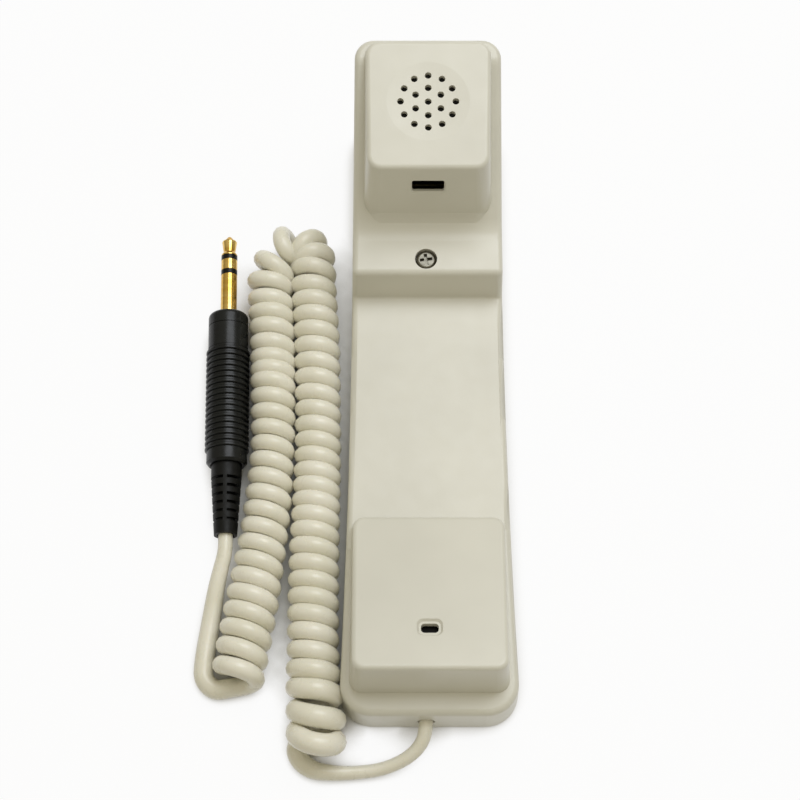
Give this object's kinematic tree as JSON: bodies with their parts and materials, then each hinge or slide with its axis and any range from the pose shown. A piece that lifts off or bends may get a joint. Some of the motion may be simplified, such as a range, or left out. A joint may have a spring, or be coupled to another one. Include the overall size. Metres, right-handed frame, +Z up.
{
  "type": "telephone handset",
  "caption": "Light beige telephone handset lying on its back, with a curly cord folded beside it and a black-handled gold jack plug on the cord's end.",
  "frame": {"origin": "middle of the handset's footprint on the surface it lies on, without its cord and plug", "axes": "+Z up, out of the side that faces the user; +Y along the handset, from the mouth end to the ear end; +X to the right of a viewer at the mouth end"},
  "size_m": [0.0986, 0.223, 0.0604],
  "materials": {
    "acoustic_cloth": "thin woven cloth",
    "black_insulator": "moulded insulator",
    "black_rubber": "satin rubber",
    "black_shell": "satin black",
    "board_laminate": "coated laminate",
    "brass": "plain brass",
    "capsule_metal": "drawn can",
    "case_plastic": "fine moulded texture, warm light grey",
    "cast_weight": "cast block",
    "component_film": "dipped body",
    "copper_wire": "enamelled winding",
    "cord_pvc": "soft flexible jacket",
    "diaphragm_film": "clear film",
    "gold": "gold coloured plating",
    "magnet_iron": "plain iron",
    "screw_steel": "zinc plated",
    "spring_steel": "passivated sheet",
    "wire_pvc": "thin wire insulation"
  },
  "bodies": {
    "handset": {"ballast_screws": "screw_steel", "ballast_weight": "cast_weight", "board_screws": "screw_steel", "bracket_screws": "screw_steel", "capacitors": "component_film", "circuit_board": "board_laminate", "cord_anchor": "cord_pvc", "cord_coil": "cord_pvc", "cord_conductors": "wire_pvc", "cord_in_plug": "cord_pvc", "cord_tail_handset": "cord_pvc", "cord_tail_plug": "cord_pvc", "cover_screw": "screw_steel", "front_cover": "case_plastic", "hook_plate": "spring_steel", "microphone_boot": "black_rubber", "microphone_capsule": "capsule_metal", "plug_band_ring": "black_insulator", "plug_band_sleeve": "black_insulator", "plug_carrier": "black_insulator", "plug_collar": "black_shell", "plug_lugs": "brass", "plug_ring": "gold", "plug_sleeve": "gold", "plug_tip": "gold", "rear_cover": "case_plastic", "receiver_bracket": "spring_steel", "receiver_cloth": "acoustic_cloth", "receiver_diaphragm": "diaphragm_film", "receiver_frame": "black_insulator", "receiver_gasket": "black_rubber", "receiver_magnet": "magnet_iron", "receiver_tag_board": "board_laminate", "receiver_yoke": "magnet_iron", "resistors": "component_film", "screw_insert": "brass", "terminal_block": "black_insulator", "terminal_screws": "screw_steel", "voice_coil": "copper_wire"},
    "strain_relief": {"plug_strain_relief": "black_rubber"},
    "barrel": {"plug_barrel": "black_shell"}
  },
  "joints": [
    {"name": "relief_slide", "type": "slide", "parent": "handset", "child": "strain_relief", "axis": [0.0208, -0.9998, 0], "range_m": [0, 0.003]},
    {"name": "barrel_turn", "type": "hinge", "parent": "strain_relief", "child": "barrel", "pos_m": [-0.06333, 0.00011, 0.007], "axis": [0.0208, -0.9998, 0], "range_deg": [0, 1350.01]}
  ],
  "couplings": [
    {"joint": "barrel_turn", "follows": "relief_slide", "rad_per_m": 7854}
  ]
}
